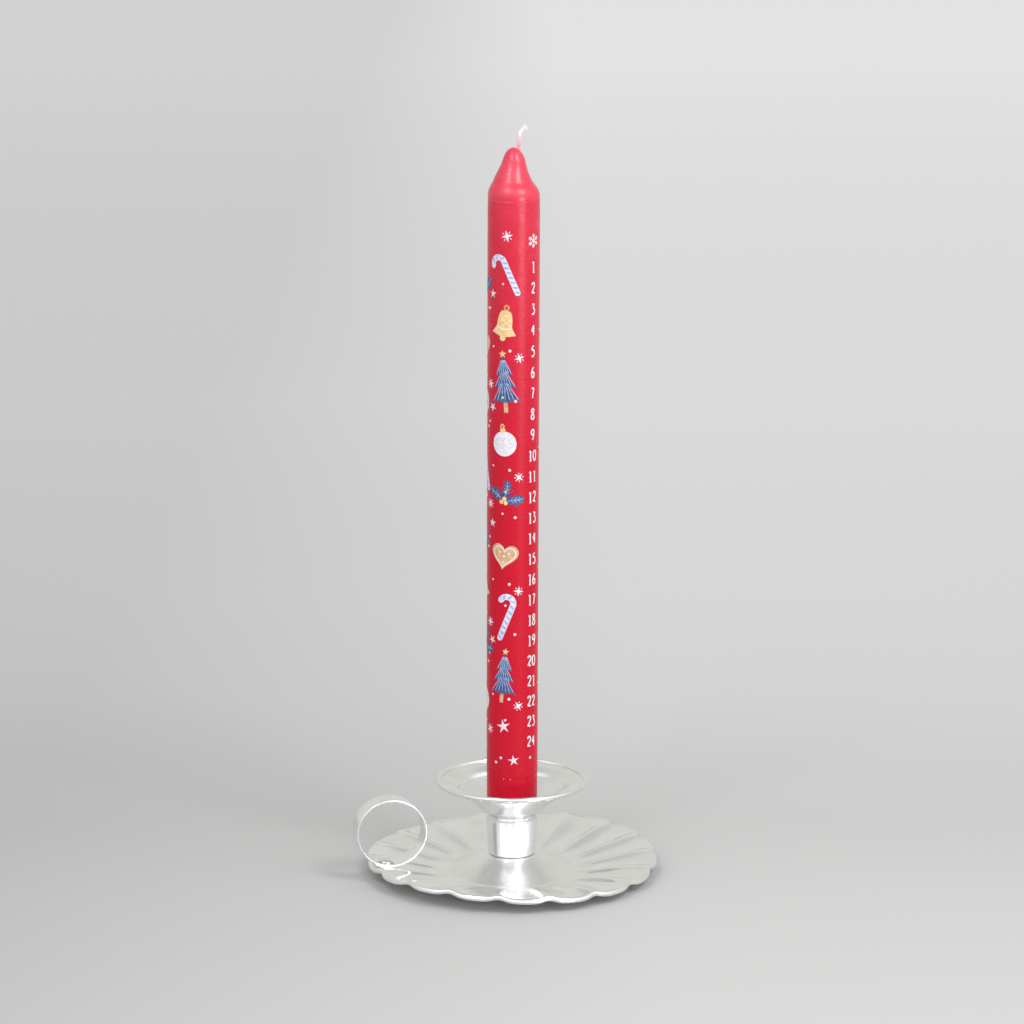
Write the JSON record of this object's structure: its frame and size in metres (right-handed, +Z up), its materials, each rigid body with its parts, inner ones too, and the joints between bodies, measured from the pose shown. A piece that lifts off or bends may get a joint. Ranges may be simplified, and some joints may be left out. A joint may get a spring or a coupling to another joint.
{
  "type": "calendar candle in a chamberstick",
  "caption": "Tall calendar candle with a number sleeve, standing in a ring-handled chamberstick with a flared drip pan and a fluted, scalloped saucer.",
  "frame": {"origin": "on the candle's axis, in the plane of the table that the saucer's foot ring rests on", "axes": "+Z up along the candle, -X out through the middle of the ring handle, +Y across the handle's band"},
  "size_m": [0.1295, 0.123, 0.3178],
  "materials": {
    "candle_wax": "satin dyed wax",
    "cotton_wick": "braided cotton",
    "transfer_film": "satin film, printed",
    "bright_sheet": "polished sheet",
    "rivet_metal": "polished rivet"
  },
  "bodies": {
    "holder": {"saucer": "bright_sheet", "candle_cup": "bright_sheet", "drip_pan": "bright_sheet", "cup_rivet": "rivet_metal", "ring_handle": "bright_sheet", "handle_rivet": "rivet_metal"},
    "candle": {"candle_wax": "candle_wax", "wick": "cotton_wick", "print_film": "transfer_film"}
  },
  "joints": [
    {"name": "candle_lift", "type": "slide", "parent": "holder", "child": "candle", "axis": [0, 0, 1], "range_m": [0, 0.04]}
  ]
}
